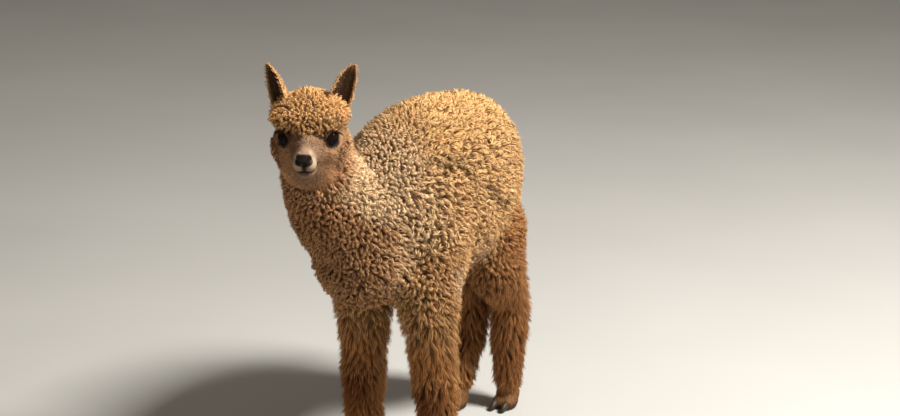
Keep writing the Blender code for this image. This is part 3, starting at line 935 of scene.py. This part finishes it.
# ---- one skin from body and ears
sizes = read(skin_mesh.polygons, "loop_total", 1, np.int32).ravel()
corners = read(skin_mesh.loops, "vertex_index", 1, np.int32).ravel()
lay = mixed(body * (1500, 1500, 330), skin_place * (1500, 330, 1500), share[:, HEAD])  # stretched along the hair
parts = {"points": [body], "hue": [skin_colour], "bare": [bareness], "lay": [lay]}
for points, quads, split, inside, up, sideways, along in EARS.values():
    offset = sum(len(a) for a in parts["points"])
    corners = np.concatenate([corners, (quads + offset).ravel().astype(np.int32)])
    sizes = np.concatenate([sizes, np.full(len(quads), 4, np.int32)])
    parts["points"].append(points)
    parts["hue"].append(ear_colour(inside, up, sideways, points) * 0.8)
    parts["bare"].append(0.15 * inside * ease(up, 0.9, 0.1))
    parts["lay"].append(np.stack([sideways * 40, up * 9, inside], axis=1))
whole = {key: np.concatenate(value) for key, value in parts.items()}
mesh = mesh_from("skin", whole["points"], corners, sizes)
paint(mesh, "hue", whole["hue"])
vectors(mesh, "lay", whole["lay"])
mesh.attributes.new("bare", "FLOAT", "POINT").data.foreach_set("value", whole["bare"].astype(np.float32))
mesh.materials.append(SKIN)
skin = add_object("skin", mesh)
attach(skin, "root")
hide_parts(*FLESH, "ear_left", "ear_right")


# ---- where and how the coat grows
def lie_at(n, share, q):
    """The way the coat lies, from normals, shares of kinds and places in the head's frame: back and down on the
    trunk, down the neck and legs, forward over the brow, back along the face."""
    head, neck, trunk = share[:, HEAD], share[:, NECK], share[:, TRUNK]
    limbs = share[:, UPPER] + share[:, LOWER] + share[:, FOOT] + share[:, TAIL]
    way = trunk[:, None] * (0, 0.5, -0.85) + neck[:, None] * (0, 0.15, -1) + limbs[:, None] * (0, 0, -1)
    top = ease(q[:, 2], 0, 0.02)[:, None]
    crown = (q - (0, 0.04, 0.06)) * (1, 1.3, 0.9)
    aslant = np.stack([q[:, 0] * 4, 0 * q[:, 0], -0.4 * ease(q[:, 2], -0.03, -0.08)], axis=1)
    face = (0, 0.85, -0.35) + aslant
    local = unit(crown) * top + face * (1 - top)
    way = way + head[:, None] * (local @ HEAD_AXES.T)
    way = way - n * (way * n).sum(1, keepdims=True)
    return unit(way)


def turned(lie, n, angle):
    return lie * np.cos(angle)[:, None] + np.cross(n, lie) * np.sin(angle)[:, None]


def unwrapped(kind, p, n):
    """A point's place on an unwrap of the skin's own shape: round each region's axis, and along it."""
    q = to_head(p) - (0, 0.02, -0.01)
    if kind == "head":
        return np.stack([np.arctan2(q[:, 0], -q[:, 1]), np.arcsin(np.clip(unit(q)[:, 2], -1, 1)) * 1.4], axis=1)
    if kind == "neck":
        x, y = line_at(NECK_LINE, p[:, 2])
        return np.stack([np.arctan2(p[:, 0] - x, y - p[:, 1]) * 0.09, p[:, 2]], axis=1)
    if kind == "trunk":
        return np.stack([np.arctan2(p[:, 0], p[:, 2] - BARREL_MIDDLE) * 0.15, p[:, 1] + 0.1 * n[:, 1]], axis=1)
    off = leg_offset(p)
    return np.stack([np.arctan2(off[:, 0], -off[:, 1]) * 0.05, p[:, 2]], axis=1)


eye_edge = np.full(len(body), np.inf)
for sign in (1, -1):
    reach, edge, _ = opening(skin_place, sign)
    eye_edge = np.minimum(eye_edge, edge + 9 * (reach > 0.03))
sprouting = (eye_edge > 1.1) * (bareness < 0.25) * (body[:, 2] > 0.0035)
is_short = share[:, HEAD] * (1 - woolly(skin_place)) + share[:, FOOT]
long_wanted = sprouting * ease(is_short, 0.75, 0.45)
short_wanted = sprouting * (1 - share[:, HEAD] * ease(skin_place[:, 1], -0.062, -0.072)) * ease(is_short, 0.3, 0.55)
short_wanted = short_wanted * ease(share[:, HEAD] + share[:, FOOT], 0.3, 0.6)
SPACING = (0.0054, 0.007, 0.009, 0.0085, 0.0078, 0.0052, 0.0046)  # between locks, in the order of KINDS
CURLY = (1, 1, 1, 0.8, 0.9, 0.05, 0)  # 1 for curly wool, 0 for straight hair, in that order
WISPS = {True: (12, 8), False: (7, 6)}  # wide and fine strands in a curly lock and in a straight one
spacing = (share @ SPACING) * (1 + 0.3 * noise(body, 28, 51) + 0.12 * noise(body, 70, 52))

roots = scattered(body, triangles, spacing, long_wanted, 1)
p, n, h, s = (at(a, triangles, roots) for a in (body, coat_normals, heights, share))
n, q = unit(n), to_head(p)
colour = markings(p, s)
count = len(p)
crack = cracks(p)
wool = np.clip(s @ CURLY, 0, 1)
wool = wool * (1 - s[:, UPPER] * 0.9 * ease(p[:, 2], 0.4, 0.29))
local_spacing = at(spacing, triangles, roots)
chance = RNG.random(count)
lumps = 1 + 0.2 * noise(p, 38, 21) + 0.1 * noise(p, 85, 22) + 0.16 * (chance - 0.5)
visor = s[:, HEAD] * ease(q[:, 2], 0.064, 0.046) * ease(q[:, 1], 0.04, 0.01)
h = mixed(h, np.minimum(h, 0.0105), visor)
length = h * mixed(1.15, 1.06, wool) * lumps * (1 - 0.45 * crack)
length += s[:, LOWER] * 0.017 + s[:, UPPER] * (0.002 + 0.012 * (1 - wool))
radius = local_spacing * mixed(0.62, 0.72, wool) * RNG.uniform(0.82, 1.18, count)
lie = turned(lie_at(n, s, q), n, RNG.normal(0, 1, count) * mixed(0.22, 0.8, wool))
brow = s[:, HEAD] * ease(q[:, 2], 0.004, 0.024) * ease(q[:, 1], 0.03, -0.01)
lean = (
    np.clip(mixed(0.75, 0.12, wool) + 0.25 * brow + RNG.normal(0, 0.1, count), 0, 1.2),
    np.clip(mixed(1.38, 0.62, wool) + 0.25 * brow + RNG.normal(0, 0.22, count), 0, 1.7),
)
twist = np.where(chance < 0.5, -1, 1) * mixed(0.4, 1.3, wool) * RNG.uniform(0.5, 1.4, count)
width = mixed(0.0011, 0.0019, wool) * mixed(1, local_spacing / SPACING[TRUNK], wool)
# Darker along the fleece's partings: painted shade in the gaps.
colour = colour * (1 - 0.42 * crack)[:, None]
colour = colour * (1 + 0.1 * (RNG.random(count) - 0.5) + RNG.normal(0, 0.04, count))[:, None]
colour = colour * (1 + RNG.normal(0, 0.015, (count, 3)))

kind = np.argmax(s, axis=1)
groups = {
    "coat_head": (kind == HEAD, "head", (0, 0, 1)),
    "coat_neck": (kind == NECK, "neck", (0, 0, 1)),
    "coat_trunk": ((kind == TRUNK) | (kind == TAIL), "trunk", (0, 1, 0)),
}
for leg in LEGS:
    groups[f"coat_leg_{leg}"] = ((kind >= UPPER) & in_leg(p, leg), "leg", (0, 0, 1))
for number, (name, (mine, form, order)) in enumerate(groups.items()):
    coat = Coat(5)
    for curly, (wide, fine) in WISPS.items():
        some = mine & ((wool >= 0.5) == curly)
        if some.any():
            root, out = p[some], n[some]
            coat.grow(
                root - out * 0.001, out, lie[some], length[some], radius[some], wool[some], [a[some] for a in lean],
                twist[some], colour[some], wide, fine, width[some], unwrapped(form, root, out),
                100 + 20 * wide + number,
            )
    coat.pieces(name, WOOL, order)

# Short hair on the face, jaw and feet.
SUNK = 0.0003  # how far a short hair's root is under the skin
roots = scattered(body, triangles, np.full(len(body), 0.0034), short_wanted, 2)
p, n, s = (at(a, triangles, roots) for a in (body, coat_normals, share))
n, q = unit(n), to_head(p)
count = len(p)
tiny = np.minimum(ease(eye_distance(q) - EYE_RADIUS, 0, 0.012), ease(q[:, 1], -0.07, -0.035) + s[:, FOOT])
length = mixed(0.001, 0.0062, tiny) * RNG.uniform(0.8, 1.25, count) + 0.003 * s[:, HEAD] * ease(q[:, 2], -0.06, -0.1)
colour = markings(p, s) * (1 + RNG.normal(0, 0.09, count))[:, None]
lie = turned(lie_at(n, s, q), n, RNG.normal(0, 0.3, count))
coat = Coat(4)
coat.grow(p - n * SUNK, n, lie, length, 0.0016, 0, (0.95, 1.42), RNG.normal(0, 0.3, count), colour, 6, 3, 0.0006,
          unwrapped("head", p, n), 200, (0.62, 0.78, 0.92, 1, 1.05))
coat.pieces("coat_face_and_feet", HAIR, (0, 0, 1))

# Ears: short hair on both sides, fringed rims.
coat = Coat(4)
for sign, (points, quads, split, inside, up, sideways, along) in EARS.items():
    normals = vertex_normals(points, split)
    roots = scattered(points, split, np.full(len(points), 0.003), ease(up, -0.12, -0.02), 3 + sign)
    p, n, deep, high, wide = (at(a, split, roots) for a in (points, normals, inside, up, sideways))
    n, count = unit(n), len(p)
    way = along[None] - n * (n @ along)[:, None]
    fringe = ease(np.abs(wide), 0.82, 1)
    hairs = mixed(0.005, 0.0075, fringe) * RNG.uniform(0.8, 1.2, count) * mixed(1, 0.7, ease(high, 0.6, 1))
    tint = ear_colour(deep, high, wide, p) * (1 + RNG.normal(0, 0.1, count))[:, None]
    spot = np.stack([wide + 2.3 * deep + 5 * (sign > 0), high * 3], axis=1)
    lie = turned(unit(way), n, RNG.normal(0, 0.35, count))
    coat.grow(p - n * SUNK, n, lie, hairs, 0.0014, 0, (mixed(0.85, 0.45, fringe), 1.35),
              RNG.normal(0, 0.3, count), tint, 4, 2, 0.0008, spot, 210 + sign, (0.6, 0.78, 0.92, 1, 1.05))
coat.pieces("coat_ears", HAIR, (1, 0, 0))


# ---- eyes
def eye_material():
    """A dark brown iris with a level oval pupil, under a clear wet coat."""
    material, tree, shader = new_material(
        "eye", 0.25, Coat_Weight=0.25, Coat_Roughness=0.02, Coat_IOR=1.3, Specular_IOR_Level=0
    )
    gaze = attribute(tree, "gaze", "Vector")
    pupil, iris = distance(scaled(gaze, (1, 1.9, 0))), distance(scaled(gaze, (1, 1, 0)))
    fibres = between(speckle(gaze, 9, 4, 0.7), (0.006, 0.003, 0.002), (0.018, 0.009, 0.005))
    inner = multiplied(fibres, ranged(pupil, 0.42, 0.5, 0.12, 1))
    link(multiplied(inner, ranged(iris, 0.66, 0.76, 1, 0.15)), shader.inputs["Base Color"])
    return material


EYE = eye_material()
for sign, side in ((1, "left"), (-1, "right")):
    bm = bmesh.new()
    bmesh.ops.create_uvsphere(bm, u_segments=72, v_segments=48, radius=1)
    mesh = as_mesh(bm, f"eyeball_{side}")
    local = mesh_arrays(mesh)[0]
    bulge = 1 + 0.035 * ease(local[:, 2], 0.72, 0.92)
    globe_points = (local * bulge[:, None] * (EYE_RADIUS - 0.0003)) @ eye_axes(sign) + (EYE_REACH * sign, 0, 0)
    shaped(mesh, from_head(globe_points))
    vectors(mesh, "gaze", local)
    if np.linalg.det(eye_axes(sign)) < 0:
        mesh.flip_normals()
    mesh.materials.append(EYE)
    globe = add_object(f"eyeball_{side}", mesh)
    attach(globe, "root")
    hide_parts(f"eye_{side}")

# Lashes, along the upper lids.
coat = Coat(5)
for sign in (1, -1):
    turn = np.repeat(np.linspace(0.25, math.pi - 0.25, 26), 3) + RNG.normal(0, 0.03, 78)
    edge = opening_edge(turn) * 1.02
    local = np.stack([np.sin(edge) * np.cos(turn), np.sin(edge) * np.sin(turn), np.cos(edge)], axis=1)
    axes = eye_axes(sign)
    n = unit(local @ axes) @ HEAD_AXES.T
    p = from_head((EYE_REACH * sign, 0, 0) + (local @ axes) * (EYE_RADIUS + 0.001))
    count = len(p)
    way = np.tile((axes[2] * 0.8 - axes[1] * 0.5) @ HEAD_AXES.T, (count, 1)) + RNG.normal(0, 0.15, (count, 3))
    lie = unit(way - n * (way * n).sum(1, keepdims=True))
    tint = np.tile((0.03, 0.018, 0.012), (count, 1))
    spot = np.stack([turn + 4 * (sign > 0), turn * 0], axis=1)
    coat.grow(p, n, lie, RNG.uniform(0.008, 0.013, count), 0.0003, 0, (0.4, 1.2), 0, tint, 2, 0, 0.0005, spot,
              220 + sign, (1,) * 5)
coat.pieces("lashes", HAIR, (1, 0, 0))


# ---- nails
def horn_material():
    material, tree, shader = new_material("horn", 0.5, Specular_IOR_Level=0.25)
    grain = speckle(scaled(place(tree), (900, 160, 500)), 1, 4, 0.6)
    link(between(grain, (0.012, 0.008, 0.006), (0.07, 0.044, 0.028)), shader.inputs["Base Color"])
    link(ranged(grain, 0.3, 0.7, 0.34, 0.55), shader.inputs["Roughness"])
    bumped(shader, grain, 0.5, 0.0004)
    return material


HORN = horn_material()
for leg in LEGS:
    for toe in ("outer", "inner"):
        name = f"nail_{leg}_{toe}"
        mesh = remeshed(name, frame["nodes"][name].data.copy(), NAIL_VOXEL)
        v, e, t = mesh_arrays(mesh)
        out = vertex_normals(v, t)
        v = spread(v, e, 14)
        v = v + out * (0.0006 + 0.00012 * noise(v * (1, 0.25, 1), 900, 61))[:, None]
        v[:, 2] = np.maximum(v[:, 2], 0.0004)
        shaped(mesh, v)
        mesh.materials.clear()
        mesh.materials.append(HORN)
        claw = add_object(f"claw_{leg}_{toe}", mesh)
        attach(claw, "root")
        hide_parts(name)

# ---- floor, light and camera
bpy.ops.mesh.primitive_plane_add(size=60, location=(0, 0, -0.0004))
floor = bpy.context.object
floor.name = "floor"
ground, tree, shader = new_material("pale_floor", 0.9)
pale = ranged(speckle(place(tree), 1.3), 0.3, 0.7, 0.97, 1.03)
tone = node(tree, "ShaderNodeRGB")
tone.outputs[0].default_value = (0.5, 0.495, 0.48, 1)
link(multiplied(tone.outputs[0], pale), shader.inputs["Base Color"])
floor.data.materials.append(ground)


def aimed(made, place, target):
    made.location = place
    made.rotation_euler = (Vector(target) - Vector(place)).to_track_quat("-Z", "Y").to_euler()


def lamp(name, place, target, size, watts, colour, glints=True):
    data = bpy.data.lights.new(name, "AREA")
    data.size, data.energy, data.color = size, watts, colour
    made = add_object(name, data)
    made.visible_glossy = glints
    aimed(made, place, target)


CENTRE = (0, 0, 0.5)
lamp("key", (2.85, 0.4, 3.75), CENTRE, 1.1, 430, (1, 0.965, 0.9))
lamp("fill", (-0.8, -4.2, 2.4), CENTRE, 3.2, 14, (1, 0.84, 0.68), False)
world = bpy.data.worlds.new("studio")
world.use_nodes = True
background = world.node_tree.nodes["Background"]
background.inputs[0].default_value = (1, 0.9, 0.77, 1)
background.inputs[1].default_value = 0.2
bpy.context.scene.world = world
bpy.context.scene.view_settings.view_transform = "Standard"

camera = add_object("camera", bpy.data.cameras.new("camera"))
camera.data.lens, camera.data.sensor_width = 77.88, 36
aimed(camera, (2, -3.3357, 1.6), (0.017, 0.1384, 0.511))
bpy.context.scene.camera = camera
